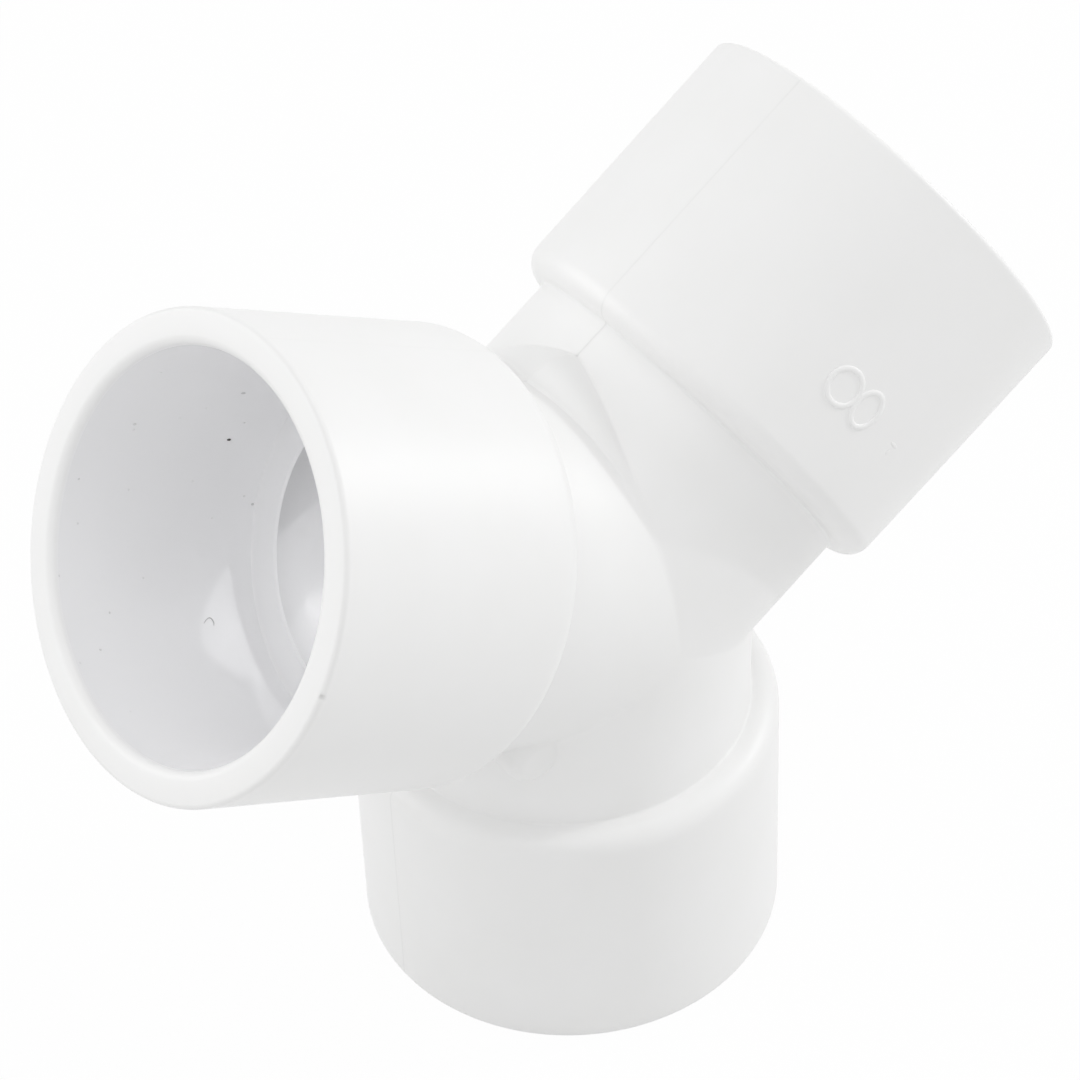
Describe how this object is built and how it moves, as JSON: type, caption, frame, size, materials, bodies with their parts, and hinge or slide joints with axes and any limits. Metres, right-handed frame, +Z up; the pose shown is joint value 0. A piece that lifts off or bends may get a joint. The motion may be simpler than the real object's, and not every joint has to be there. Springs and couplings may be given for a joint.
{
  "type": "three-way wye pipe fitting",
  "caption": "Symmetric wye of white plastic pipe fitting: equal sockets 120 degrees apart in one plane join pipes at a common hub.",
  "frame": {"origin": "where the three socket axes meet, at the centre of the hub", "axes": "+Z up, away from the mouth of the socket that it stands on; +X towards the upper right socket's side; the three axes lie in the plane Y = 0 and the numbered side faces -Y"},
  "size_m": [0.168, 0.0714, 0.1457],
  "materials": {
    "white_pvc": "semi-gloss moulded"
  },
  "bodies": {
    "root": {"wye_body": "white_pvc"}
  },
  "joints": []
}
